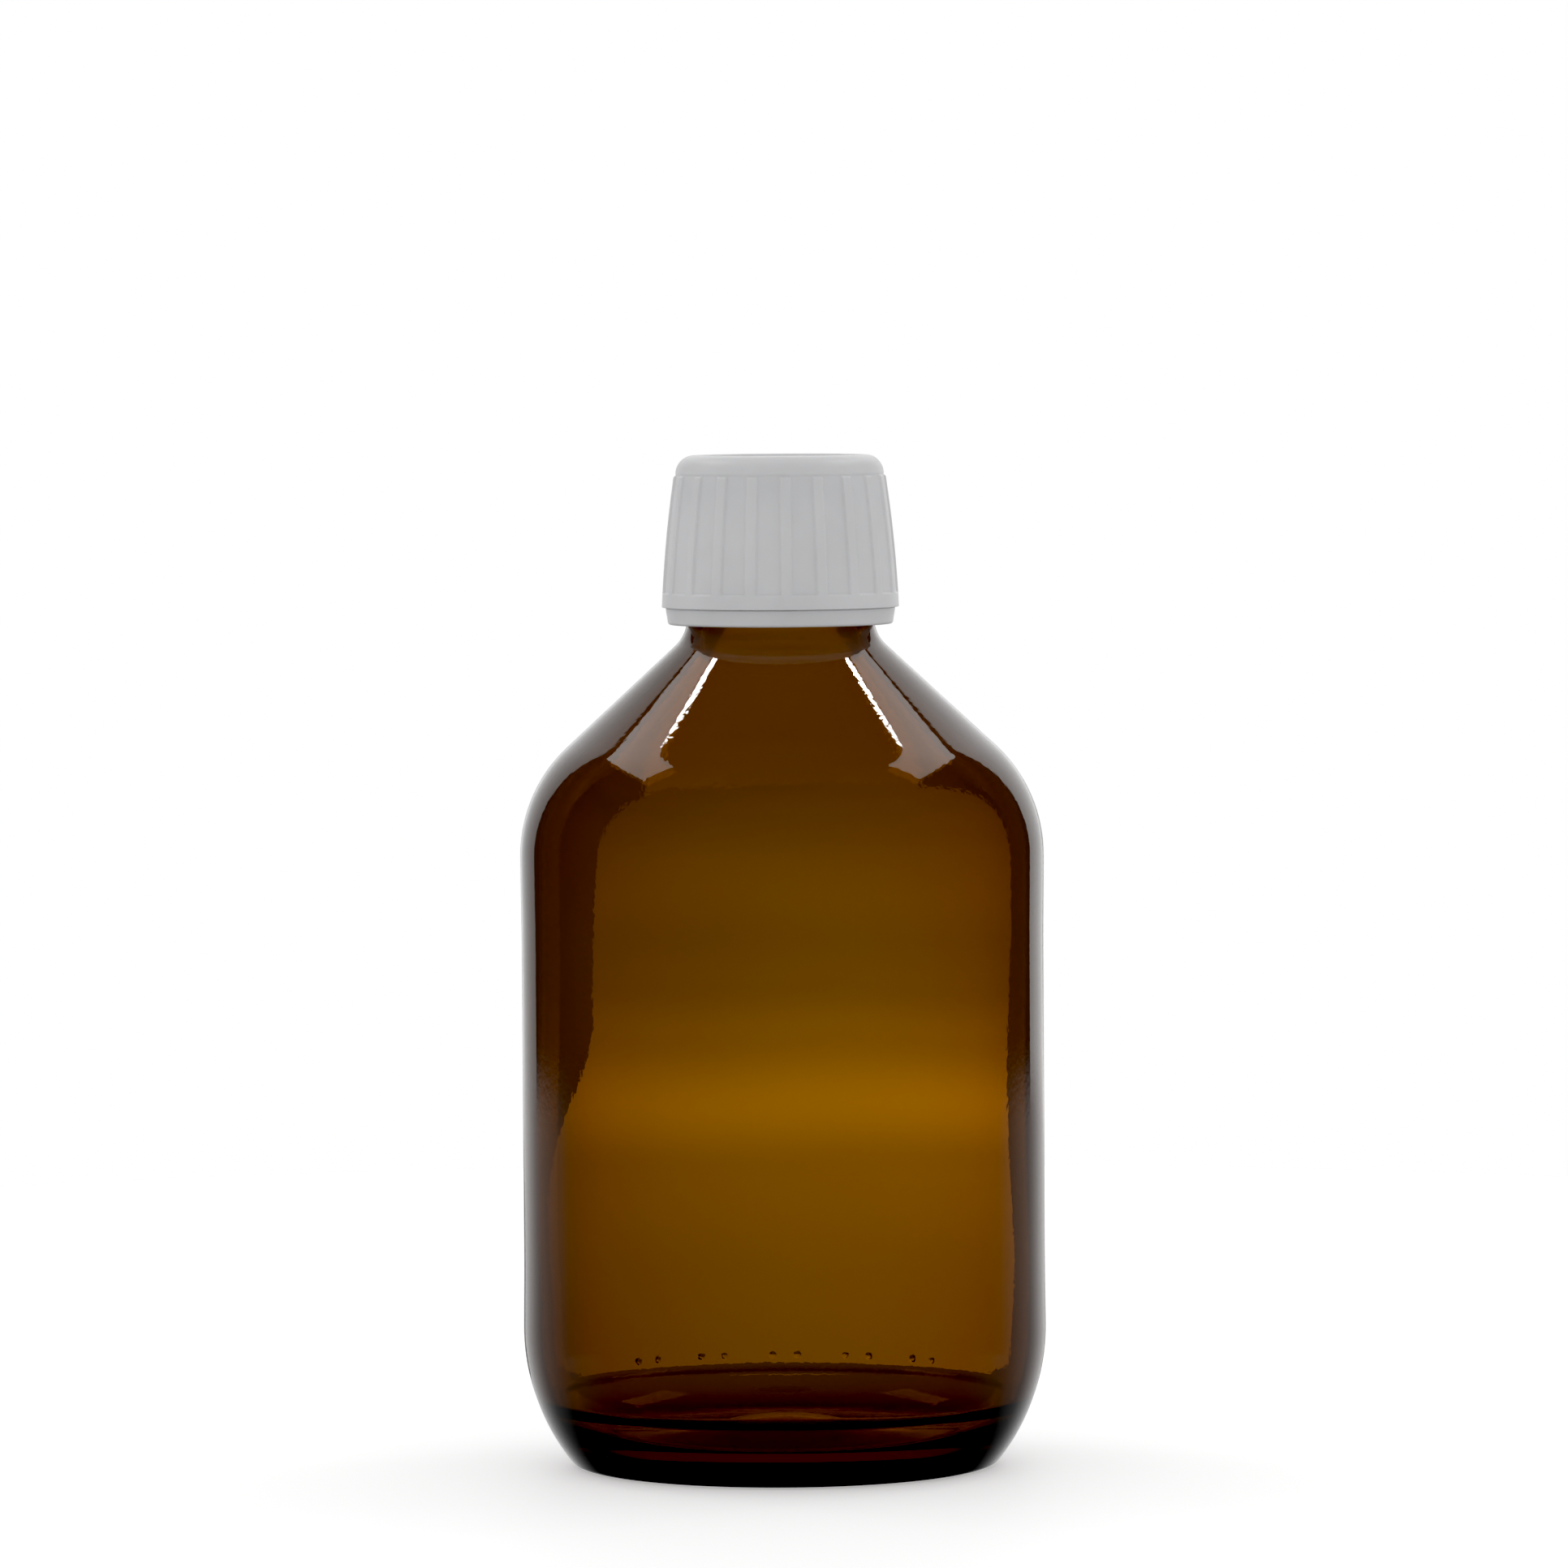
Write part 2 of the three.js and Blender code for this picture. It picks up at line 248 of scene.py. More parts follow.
def glass_outline():
    """The outside from the middle of the base to the land, and the inside from there down."""
    # The base edge's arc touches the heel's.
    heel = (BODY_RADIUS - HEEL_RADIUS, HEEL_TOP)
    reach = HEEL_RADIUS - BASE_EDGE
    drop = HEEL_TOP - BASE_EDGE
    edge = (heel[0] + math.sqrt(reach ** 2 - drop ** 2), BASE_EDGE)
    edge_angle = -math.degrees(math.asin(drop / reach))

    # The cone touches the shoulder's arc below it and the neck's fillet above it.
    shoulder = (BODY_RADIUS - SHOULDER_RADIUS, SHOULDER_START)
    slope = math.radians(CONE_ANGLE)
    span = SHOULDER_RADIUS + NECK_FILLET
    neck = NECK_RADIUS + NECK_FILLET
    run = shoulder[0] - neck + span * math.cos(slope)
    fillet = (neck, SHOULDER_START + span * math.sin(slope) + run / math.tan(slope))

    # The outline is finer where the dots are.
    dots_low, dots_high = (
        -math.degrees(math.asin((HEEL_TOP - DOT_HEIGHT - side) / HEEL_RADIUS))
        for side in (-1.5 * DOT_RADIUS, 1.5 * DOT_RADIUS))

    # The inside corner's arc touches the inner heel and the level ring of the floor.
    corner_reach = HEEL_RADIUS - WALL - FLOOR_CORNER
    corner_drop = HEEL_TOP - FLOOR_HEIGHT - FLOOR_CORNER
    corner = (heel[0] + math.sqrt(corner_reach ** 2 - corner_drop ** 2), HEEL_TOP - corner_drop)
    wall_end = -math.degrees(math.asin(corner_drop / corner_reach))

    outside = [
        *[domed(i / 16, BEARING_INNER, 0, PUSH_UP) for i in range(17)],
        *arc(edge, BASE_EDGE, -90, edge_angle, 8),
        *arc(heel, HEEL_RADIUS, edge_angle + 2, dots_low, 2),
        *arc(heel, HEEL_RADIUS, dots_low, dots_high, 0.22)[1:],
        *arc(heel, HEEL_RADIUS, dots_high, 0, 2)[1:],
        *arc(shoulder, SHOULDER_RADIUS, 0, CONE_ANGLE, 2.4),
        *arc(fillet, NECK_FILLET, 180 + CONE_ANGLE, 180, 5),
        (NECK_RADIUS, BEAD_HEIGHT - BEAD_ROUND - 0.25),
        *arc((BEAD_RADIUS - BEAD_ROUND, BEAD_HEIGHT), BEAD_ROUND, -75, 60, 15),
        (ROOT_RADIUS, BEAD_HEIGHT + 1.6),
        *arc((ROOT_RADIUS - LAND_EDGE, LAND - LAND_EDGE), LAND_EDGE, 0, 90, 12),
    ]
    inside = [
        *arc((BORE_RADIUS + MOUTH_EDGE, LAND - MOUTH_EDGE), MOUTH_EDGE, 90, 180, 18),
        (BORE_RADIUS, LAND - BORE_DEPTH),
        *arc(fillet, NECK_FILLET + WALL, 180, 180 + CONE_ANGLE, 5),
        *arc(shoulder, SHOULDER_RADIUS - WALL, CONE_ANGLE, 0, 3.5),
        *arc(heel, HEEL_RADIUS - WALL, 0, wall_end, 3),
        *arc(corner, FLOOR_CORNER, wall_end, -90, 4),
        *[domed(1 - i / 20, corner[0], FLOOR_HEIGHT, FLOOR_DOME) for i in range(1, 21)],
    ]
    outside = refined(outside, 1.6, (BEAD_TOP, LAND - LAND_EDGE), 0.22)
    return outside, refined(inside, 2.2)


def dot_angles():
    """Angles of the heel's dots: pairs in a row across the back."""
    first = 90 - DOT_PITCH * (DOT_SLOTS - 1) / 2
    return [first + DOT_PITCH * slot for slot in range(DOT_SLOTS) if slot % 3 != 2]


def glass_columns():
    """Angles of the bottle's columns: even, and closer at the two side seams and at each dot."""
    seam = [-1.2, -0.6, -0.3, 0.0, 0.3, 0.6, 1.2]
    dot = [0.3 * step for step in range(-4, 5)]
    seams = {(side + s) % 360 for side in (0, 180) for s in seam}
    dots = {centre + d for centre in dot_angles() for d in dot}

    def clear(angle):
        by_seam = min(angle % 180, 180 - angle % 180) < 1.4
        return not by_seam and min(abs(angle - centre) for centre in dot_angles()) > 1.5

    return sorted(seams | dots | {angle for angle in even_columns(200) if clear(angle)})


def dot_rise(radius, height, degrees):
    """How far the heel's dots stand out."""
    if abs(height - DOT_HEIGHT) >= DOT_RADIUS:
        return 0.0
    nearest = min(abs(degrees - centre) for centre in dot_angles())
    upright = math.cos(math.asin((HEEL_TOP - DOT_HEIGHT) / HEEL_RADIUS))
    away = math.hypot(math.radians(nearest) * radius, (height - DOT_HEIGHT) / upright)
    return DOT_RISE * (1 - smooth_step(0.3 * DOT_RADIUS, DOT_RADIUS, away))


def seam_rise(radius, height, degrees):
    """How far the mould's two side seams stand out."""
    if height <= SEAM_FOOT:
        return 0.0
    away = min(degrees % 180, 180 - degrees % 180)
    return SEAM_HEIGHT * (1 - smooth_step(0, SEAM_WIDTH, math.radians(away) * radius))


def panel_sink(height):
    """How deep the label panel is sunk."""
    low, high = PANEL_SPAN
    sunk = smooth_step(low - PANEL_BLEND, low + PANEL_BLEND, height)
    sunk -= smooth_step(high - PANEL_BLEND, high + PANEL_BLEND, height)
    return PANEL_RECESS * sunk


def inside_wave(height, degrees):
    """How far the inside of the blown body moves in or out, fading at the heel and shoulder."""
    angle = math.radians(degrees)
    body = smooth_step(16, 30, height) * (1 - smooth_step(SHOULDER_START, 95, height))
    waves = (math.sin(2 * angle + 0.045 * height + 0.6)
             + 0.7 * math.sin(3 * angle - 0.07 * height + 2.1)
             + 0.5 * math.sin(5 * angle + 0.11 * height))
    return UNEVEN * body * waves


def glass_bottle():
    """The whole glass: its walls have their real thickness, and the neck carries the thread."""
    outside, inside = glass_outline()

    def shift(radius, height, degrees, row):
        if row >= len(outside):
            return inside_wave(height, degrees)
        move = -panel_sink(height)
        move += dot_rise(radius, height, degrees)
        move += seam_rise(radius, height, degrees)
        if BEAD_TOP < height < LAND - LAND_EDGE / 2:
            move += THREAD_HEIGHT * thread_rise(height, degrees, THREAD_TOP, THREAD_TURNS,
                                                THREAD_FOOT, THREAD_CREST)
        return move

    return revolved("glass_bottle", outside + inside, glass_columns(), shift)


# ---- closure ----

def barrel(height):
    """Radius of the cap's side over the ribs."""
    fall = math.sqrt(BARREL_RADIUS ** 2 - (height - BARREL_HEIGHT) ** 2)
    return BARREL_WIDEST - BARREL_RADIUS + fall


def rib_columns():
    """Angles of the cap's columns: close together at both edges of every rib."""
    pitch = 360.0 / RIB_COUNT
    half = math.degrees(RIB_WIDTH / 2 / barrel(RIB_LOW))
    edge = math.degrees(RIB_EDGE / barrel(RIB_LOW))
    foot = half + edge * 2.5
    steps = [0.0, half * 0.5, *[half + edge * i / 2 for i in range(-2, 3)], foot]
    steps += [foot + (pitch / 2 - foot) * i / 3 for i in (1, 2, 3)]
    offsets = sorted(set(steps) | {-s for s in steps if 0 < s < pitch / 2 - 1e-6})
    start = -90 + RIB_PHASE
    return [start + pitch * k + offset for k in range(RIB_COUNT) for offset in offsets]


def moulded_cap():
    """The cap from its ceiling down the threaded bore, up the ribbed side and over the top."""
    corner = (CAP_CORNER_CENTRE, CAP_HIGH.z - CAP_CORNER)
    skirt = CAP_LOW.z
    liner_radius = LINER_HIGH.x
    side = [skirt + 0.25 + (RIB_LOW - 0.3 - skirt - 0.25) * i / 3 for i in range(4)]
    side += [RIB_LOW + RIB_SLOPE * i / 6 for i in range(-1, 8)]
    side += [RIB_LOW + 0.6 + (RIB_TOP - RIB_LOW - 1.2) * i / 14 for i in range(15)]
    side += [RIB_TOP - RIB_SLOPE + RIB_SLOPE * i / 6 for i in range(-1, 7)]
    inside = [
        (0, CEILING),
        (liner_radius + 0.1, CEILING),
        (liner_radius + 0.25, CEILING - 0.15),
        (liner_radius + 0.4, CEILING - 1.2),
        (CAP_BORE - 0.1, LAND + 0.35),
        (CAP_BORE, LAND + 0.1),
        (CAP_BORE, SKIRT_STEP),
        (CAP_BORE + 0.05, SKIRT_STEP - 0.15),
        (SKIRT_BORE - 0.05, SKIRT_STEP - 0.8),
        (SKIRT_BORE, SKIRT_STEP - 0.95),
        (SKIRT_BORE, skirt + 1.1),
        (SKIRT_BORE + 0.07, skirt + 0.93),
        (SKIRT_BORE + 0.7, skirt + 0.06),
        (SKIRT_BORE + 0.8, skirt),
        *arc((barrel(skirt) - SKIRT_EDGE, skirt + SKIRT_EDGE), SKIRT_EDGE, -90, -10, 20),
    ]
    outside = [(barrel(z), z) for z in side]
    start = math.degrees(math.asin((RIB_TOP + 0.1 - corner[1]) / CAP_CORNER))
    sunk = CAP_HIGH.z - RECESS_DEPTH
    top = [
        *arc(corner, CAP_CORNER, start, 84, 5),
        (CAP_CORNER_CENTRE - 0.1, CAP_HIGH.z),
        (RECESS_RADIUS + 0.1, CAP_HIGH.z),
        (RECESS_RADIUS, CAP_HIGH.z - 0.03),
        (RECESS_RADIUS - 0.17, sunk + 0.05),
        (RECESS_RADIUS - 0.3, sunk),
        (RECESS_RADIUS * 0.6, sunk),
        (GATE_RADIUS + 0.4, sunk),
        (GATE_RADIUS + 0.2, sunk - 0.04),
        (GATE_RADIUS, sunk - GATE_DEPTH),
        (0.5, sunk - GATE_DEPTH - 0.04),
        (0.35, sunk - 0.08),
        (0, sunk - 0.06),
    ]
    threads = (SKIRT_STEP + 0.1, LAND)
    inside = refined(inside, 3.0, threads, 0.2)
    first_side = len(inside)
    last_side = first_side + len(outside)
    pitch = 360.0 / RIB_COUNT

    # The cap's thread runs halfway between the turns of the neck's.
    turns_below = (THREAD_TOP - CAP_THREAD_TOP) / THREAD_PITCH - 0.5

    def shift(radius, height, degrees, row):
        if first_side <= row < last_side:
            nearest = (degrees + 90 - RIB_PHASE + pitch / 2) % pitch - pitch / 2
            across = abs(math.radians(nearest)) * radius
            beside = smooth_step(RIB_WIDTH / 2 - RIB_EDGE, RIB_WIDTH / 2 + RIB_EDGE, across)
            panel = beside * smooth_step(RIB_LOW, RIB_LOW + RIB_SLOPE, height)
            above = smooth_step(RIB_TOP - RIB_SLOPE, RIB_TOP, height)
            return -RIB_DEPTH * max(panel, above * 0.9)
        if threads[0] < height < threads[1] and row < first_side:
            turn = degrees + turns_below * 360.0
            return -CAP_THREAD_HEIGHT * thread_rise(height, turn, CAP_THREAD_TOP, CAP_THREAD_TURNS,
                                                    CAP_THREAD_FOOT, CAP_THREAD_CREST)
        return 0.0

    return revolved("screw_cap", inside + outside + top, rib_columns(), shift)


def breakaway_band():
    """The band under the cap, with a flat top and the inner lip that holds it under the bead."""
    low = BAND_LOW.z
    side = BAND_HIGH.x - 0.02
    foot = (BAND_FOOT_RADIUS - BAND_FOOT_EDGE, low + BAND_FOOT_EDGE)
    top = (side - BAND_TOP_EDGE, BAND_TOP - BAND_TOP_EDGE)
    outline = [
        (BAND_BORE - 0.4, low),
        *arc(foot, BAND_FOOT_EDGE, -90, 5, 12),
        (side, BAND_TOP - 0.22),
        *arc(top, BAND_TOP_EDGE, 10, 90, 20),
        *[(BAND_BORE + across, BAND_TOP) for across in (0.95, 0.7, 0.4, 0.15)],
        (BAND_BORE, BAND_TOP - 0.05),
        (BAND_BORE, HOOK_TOP + 0.04),
        (BAND_BORE - 0.05, HOOK_TOP),
        (HOOK_RADIUS + 0.06, HOOK_TOP),
        (HOOK_RADIUS, HOOK_TOP - 0.06),
        (HOOK_RADIUS, HOOK_TOP - 0.28),
        (HOOK_RADIUS + 0.06, HOOK_TOP - 0.36),
    ]
    return revolved("tamper_ring", refined(outline, 0.6), even_columns(240), closed=True)


def pouring_ring():
    """The soft ring pressed into the neck: a ribbed plug, a flange and a narrow throat."""
    top = RING_HIGH.z
    flange = RING_HIGH.x
    plug = 8.72
    low = RING_LOW.z
    inner = plug - 0.8
    throat = 5.5
    under = LAND + 0.05

    def sealing_rib(height):
        return [(plug, height - 0.5), (plug + 0.14, height - 0.15), (plug + 0.18, height),
                (plug + 0.14, height + 0.15), (plug, height + 0.5)]

    outline = [
        (inner, low + 0.15),
        *arc((inner + 0.22, low + 0.2), 0.2, 180, 300, 25),
        (plug, low + 0.9),
        *sealing_rib(LAND - 5.4),
        *sealing_rib(LAND - 3.2),
        (plug, under),
        *arc((flange - 0.35, under + 0.35), 0.35, -90, 0, 18),
        *arc((flange - 0.35, top - 0.35), 0.35, 0, 90, 18),
        (plug - 0.1, top),
        (plug - 0.4, top - 0.12),
        *arc((throat + 3.2, LAND - 3.2), 3.1, 128, 180, 8),
        (throat, LAND - 3.4),
        (throat + 0.12, LAND - 3.56),
        (throat + 0.45, LAND - 3.55),
        (throat + 0.8, LAND - 2.4),
        (inner - 0.2, LAND - 1.15),
        (inner, LAND - 1.3),
    ]
    return revolved("pour_insert", refined(outline, 0.9), even_columns(180), closed=True)


def foam_liner():
    """The foam disc in the cap's ceiling, with the print that the pouring ring presses in it."""
    radius = LINER_HIGH.x
    low = LINER_LOW.z
    high = LINER_HIGH.z
    press = RING_HIGH.x
    outline = [
        (0, low + 0.02),
        (BORE_RADIUS - 1.3, low + 0.02),
        (BORE_RADIUS - 0.9, low + 0.1),
        (BORE_RADIUS - 0.5, low + 0.14),
        (press - 0.1, low + 0.14),
        (press + 0.15, low + 0.1),
        (press + 0.35, low),
        *arc((radius - 0.15, low + 0.15), 0.15, -90, 0, 25),
        *arc((radius - 0.08, high - 0.08), 0.08, 0, 90, 30),
        (0, high),
    ]
    return revolved("foam_liner", refined(outline, 1.5), even_columns(144))


# ---- materials ----

def new_material(name):
    """A material with only a Principled shader, and a helper that adds and wires a node."""
    material = bpy.data.materials.new(name)
    material.use_nodes = True
    tree = material.node_tree
    shader = tree.nodes["Principled BSDF"]

    def add(kind, **values):
        node = tree.nodes.new(kind)
        for key, value in values.items():
            if key in node.inputs:
                socket = node.inputs[key]
                if isinstance(value, bpy.types.NodeSocket):
                    tree.links.new(value, socket)
                else:
                    socket.default_value = value
            else:
                setattr(node, key, value)
        return node

    return material, tree, shader, add


def set_stops(node, stops):
    """Gives a colour ramp its stops of (place, grey or colour), from low to high."""
    elements = node.color_ramp.elements
    while len(elements) < len(stops):
        elements.new(0.5)
    for element, (place, value) in zip(elements, stops):
        colour = value if isinstance(value, tuple) else (value,) * 3
        element.position = place
        element.color = (*colour, 1)


def ramp(add, factor, stops):
    """A colour ramp over factor."""
    node = add("ShaderNodeValToRGB", Fac=factor)
    set_stops(node, stops)
    return node.outputs["Color"]


def amber_glass():
    """Clear glass whose body absorbs blue most, with a fine ripple that is stronger on the cone."""
    material, tree, shader, add = new_material("amber_glass")
    shader.inputs["Base Color"].default_value = (1, 1, 1, 1)
    shader.inputs["Transmission Weight"].default_value = 1.0
    shader.inputs["Roughness"].default_value = 0.0
    shader.inputs["IOR"].default_value = 1.52
    place = add("ShaderNodeTexCoord")
    ripple = add("ShaderNodeTexNoise", Vector=place.outputs["Object"], Scale=1300.0, Detail=1.5)
    split = add("ShaderNodeSeparateXYZ", Vector=place.outputs["Object"])
    strength = add("ShaderNodeMapRange", Value=split.outputs["Z"])
    shoulder = SHOULDER_START * MM
    limits = {"From Min": shoulder, "From Max": shoulder + 12 * MM, "To Min": 0.12, "To Max": 0.4}
    for socket, value in limits.items():
        strength.inputs[socket].default_value = value
    bump = add("ShaderNodeBump", Height=ripple.outputs["Fac"], Strength=strength.outputs["Result"],
               Distance=0.018 * MM)
    tree.links.new(bump.outputs["Normal"], shader.inputs["Normal"])
    volume = add("ShaderNodeVolumeAbsorption", Color=(0.845, 0.682, 0.0, 1), Density=1300.0)
    tree.links.new(volume.outputs["Volume"], tree.nodes["Material Output"].inputs["Volume"])
    return material


def moulded_plastic(name, light, dark, roughness, grain, scatter):
    """White moulded plastic: a fine satin grain, faint clouding and a little scatter."""
    material, tree, shader, add = new_material(name)
    place = add("ShaderNodeTexCoord")
    cloud = add("ShaderNodeTexNoise", Vector=place.outputs["Object"], Scale=140.0, Detail=3.0)
    colour = ramp(add, cloud.outputs["Fac"], [(0.3, dark), (0.7, light)])
    tree.links.new(colour, shader.inputs["Base Color"])
    grains = add("ShaderNodeTexNoise", Vector=place.outputs["Object"], Scale=2600.0, Detail=2.0)
    gloss = ramp(add, grains.outputs["Fac"], [(0.3, roughness - 0.05), (0.7, roughness + 0.06)])
    tree.links.new(gloss, shader.inputs["Roughness"])
    bump = add("ShaderNodeBump", Height=grains.outputs["Fac"], Strength=grain,
               Distance=0.04 * MM)
    tree.links.new(bump.outputs["Normal"], shader.inputs["Normal"])
    shader.inputs["Subsurface Weight"].default_value = scatter
    shader.inputs["Subsurface Radius"].default_value = (1.6 * MM, 1.4 * MM, 1.2 * MM)
    shader.inputs["Subsurface Scale"].default_value = 1.0
    shader.inputs["IOR"].default_value = 1.49
    return material


def foam():
    """Closed-cell foam: small round cells that show as a fine bump."""
    material, tree, shader, add = new_material("liner_foam")
    place = add("ShaderNodeTexCoord")
    cells = add("ShaderNodeTexVoronoi", Vector=place.outputs["Object"], Scale=3200.0)
    colour = ramp(add, cells.outputs["Distance"], [(0.0, 0.82), (0.8, 0.7)])
    tree.links.new(colour, shader.inputs["Base Color"])
    bump = add("ShaderNodeBump", Height=cells.outputs["Distance"], Strength=0.5,
               Distance=0.1 * MM)
    tree.links.new(bump.outputs["Normal"], shader.inputs["Normal"])
    shader.inputs["Roughness"].default_value = 0.75
    return material


def pale_floor():
    """A plain matt floor that glows a little, so that it fades into the white background."""
    material, tree, shader, add = new_material("pale_floor")
    place = add("ShaderNodeTexCoord")
    cloud = add("ShaderNodeTexNoise", Vector=place.outputs["Object"], Scale=6.0, Detail=4.0)
    colour = ramp(add, cloud.outputs["Fac"], [(0.3, 0.86), (0.7, 0.88)])
    tree.links.new(colour, shader.inputs["Base Color"])
    shader.inputs["Roughness"].default_value = 0.6
    shader.inputs["Specular IOR Level"].default_value = 0.2
    shader.inputs["Emission Color"].default_value = (1, 1, 1, 1)
    shader.inputs["Emission Strength"].default_value = 0.4
    return material


def place_piece(obj, body, slot, material, *nodes):
    """Gives a piece its material and body, and hides the CAD nodes it stands for. slot isn't used.
    """
    obj.data.materials.clear()
    obj.data.materials.append(material)
    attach(obj, body)
    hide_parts(*nodes)


# ---- camera, lights and floor ----

def aim(obj, target):
    """Turns a camera or a light towards a point."""
    direction = Vector(target) - obj.location
    obj.rotation_mode = "QUATERNION"
    obj.rotation_quaternion = direction.to_track_quat("-Z", "Y")


def camera():
    """A long lens in front of the bottle that looks slightly down on it."""
    data = bpy.data.cameras.new("camera")
    data.lens = LENS
    data.sensor_width = SENSOR
    obj = bpy.data.objects.new("camera", data)
    bpy.context.scene.collection.objects.link(obj)
    obj.location = CAMERA_PLACE
    aim(obj, CAMERA_AIM)
    obj.rotation_quaternion @= Quaternion((0, 0, 1), math.radians(CAMERA_ROLL))
    bpy.context.scene.camera = obj


def softbox(name, direction, distance, size, radiance, flat=False):
    """A rectangular light, in metres, in a direction from the shoulder. A flat one faces down."""
    data = bpy.data.lights.new(name, "AREA")
    data.shape = "RECTANGLE"
    data.size, data.size_y = size
    data.energy = radiance * math.pi * data.size * data.size_y
    obj = bpy.data.objects.new(name, data)
    bpy.context.scene.collection.objects.link(obj)
    shoulder = Vector((0, 0, SHOULDER_START * MM))
    obj.location = shoulder + Vector(direction) * distance
    aim(obj, obj.location - Vector((0, 0, 1)) if flat else shoulder)
    obj.visible_camera = False
    return obj


def math_nodes(tree):
    """A helper that adds a Math node and gives its output: maths("ADD", a, b)."""
    def maths(operation, *values):
        node = tree.nodes.new("ShaderNodeMath")
        node.operation = operation
        for socket, value in zip(node.inputs, values):
            if isinstance(value, bpy.types.NodeSocket):
                tree.links.new(value, socket)
            else:
                socket.default_value = value
        return node.outputs["Value"]
    return maths


def studio_world():
    """The room round the bottle, by direction: x to the right, y to the back and z up.

    The camera sees plain white, and matt surfaces get an even light. Reflections show a dim room
    with a white wall behind the bottle and a pale table, dark right underneath. Through the
    glass comes a dim even light, weaker from behind the bottle, where the cards stand.
    """
    world = bpy.data.worlds.new("studio")
    bpy.context.scene.world = world
    world.use_nodes = True
    tree = world.node_tree
    tree.nodes.clear()
    maths = math_nodes(tree)
    direction = tree.nodes.new("ShaderNodeTexCoord").outputs["Generated"]
    split = tree.nodes.new("ShaderNodeSeparateXYZ")
    tree.links.new(direction, split.inputs["Vector"])
    x, y, z = (split.outputs[axis] for axis in "XYZ")
    side = maths("ABSOLUTE", x)

    def rise(value, low, high):
        """0 at low and 1 at high, with a smooth rise between, whichever of them is larger."""
        node = tree.nodes.new("ShaderNodeMapRange")
        node.interpolation_type = "SMOOTHSTEP"
        tree.links.new(value, node.inputs["Value"])
        node.inputs["From Min"].default_value = low
        node.inputs["From Max"].default_value = high
        return node.outputs["Result"]

    def times(a, b):
        return maths("MULTIPLY", a, b)

    def add_scaled(a, factor, b):
        """a * factor + b"""
        return maths("MULTIPLY_ADD", a, factor, b)

    def blend(factor, low, high):
        return maths("MULTIPLY_ADD", factor, maths("SUBTRACT", high, low), low)

    # White wall: between two nearly upright edges and below a level one, brightest in the
    # middle, to the right and high up, in a room with a faint light of its own.
    edge = add_scaled(y, 0.8, add_scaled(z, -0.03, times(side, -1)))
    wall = times(rise(edge, 0.0, 0.02), rise(z, 0.66, 0.64))
    glow = add_scaled(side, -0.7, add_scaled(z, 0.15, 1.1))
    glow = add_scaled(x, 0.3, glow)
    upper = add_scaled(wall, glow, 0.035)

    # Table: brightest towards the wall near the horizon, even further down, dark underneath.
    far = add_scaled(rise(y, 0.7, 0.95), 0.45, times(rise(y, 0.1, 0.75), 0.3))
    even = times(rise(z, -0.12, -0.2), times(rise(y, -0.2, 0.4), 0.2))
    table = maths("MAXIMUM", maths("ADD", far, 0.03), even)
    table = times(table, rise(z, -0.6, -0.12))

    # Through the glass: above the horizon, just below it, and from steeply below.
    behind = rise(y, 0.1, 0.7)
    above = blend(behind, 0.34, 0.11)
    below = times(rise(z, -0.6, -0.2), blend(behind, 0.34, 0.1))
    below = maths("MAXIMUM", below, times(rise(z, -0.45, -0.6), 0.2))

    path = tree.nodes.new("ShaderNodeLightPath")
    through = path.outputs["Is Transmission Ray"]
    horizon = rise(z, -0.088, -0.078)
    seen = blend(horizon, blend(through, table, below), blend(through, upper, above))
    seen = blend(path.outputs["Is Diffuse Ray"], seen, add_scaled(z, 0.12, 0.6))
    seen = blend(path.outputs["Is Camera Ray"], seen, 1.0)
    room = tree.nodes.new("ShaderNodeBackground")
    room.inputs["Color"].default_value = (1, 1, 1, 1)
    tree.links.new(seen, room.inputs["Strength"])
    output = tree.nodes.new("ShaderNodeOutputWorld")
    tree.links.new(room.outputs["Background"], output.inputs["Surface"])


def glowing_card(name, outline, distance, stops, top, slope=0.0, fade=(1.0, 2.0, 1.0)):
    """An upright card behind the bottle that only the glass sees, with its outline in metres.

    stops are (share of the height, brightness), and slope is how much brighter a metre to the
    right is. fade is how far to the left the brightness starts and ends to fall, and the share
    that is left there.
    """
    mesh = bmesh.new()
    mesh.faces.new([mesh.verts.new((x, distance, z)) for x, z in outline])
    card = finished(name, mesh)
    material = bpy.data.materials.new(name)
    material.use_nodes = True
    tree = material.node_tree
    tree.nodes.clear()
    maths = math_nodes(tree)
    split = tree.nodes.new("ShaderNodeSeparateXYZ")
    place = tree.nodes.new("ShaderNodeTexCoord").outputs["Object"]
    tree.links.new(place, split.inputs["Vector"])
    bright = tree.nodes.new("ShaderNodeValToRGB")
    tree.links.new(maths("DIVIDE", split.outputs["Z"], top), bright.inputs["Fac"])
    set_stops(bright, stops)
    bright.color_ramp.interpolation = "EASE"
    sides = tree.nodes.new("ShaderNodeMapRange")
    sides.interpolation_type = "SMOOTHSTEP"
    across = split.outputs["X"]
    tree.links.new(maths("MULTIPLY", across, -1), sides.inputs["Value"])
    for socket, value in zip(("From Min", "From Max", "To Max"), fade):
        sides.inputs[socket].default_value = value
    sides.inputs["To Min"].default_value = 1.0
    glow = tree.nodes.new("ShaderNodeEmission")
    tree.links.new(bright.outputs["Color"], glow.inputs["Color"])
    gradient = maths("MULTIPLY_ADD", across, slope, 1.0)
    tree.links.new(maths("MULTIPLY", gradient, sides.outputs["Result"]), glow.inputs["Strength"])
    output = tree.nodes.new("ShaderNodeOutputMaterial")
    tree.links.new(glow.outputs["Emission"], output.inputs["Surface"])
    card.data.materials.append(material)
    card.visible_camera = False
    card.visible_diffuse = False
    card.visible_shadow = False


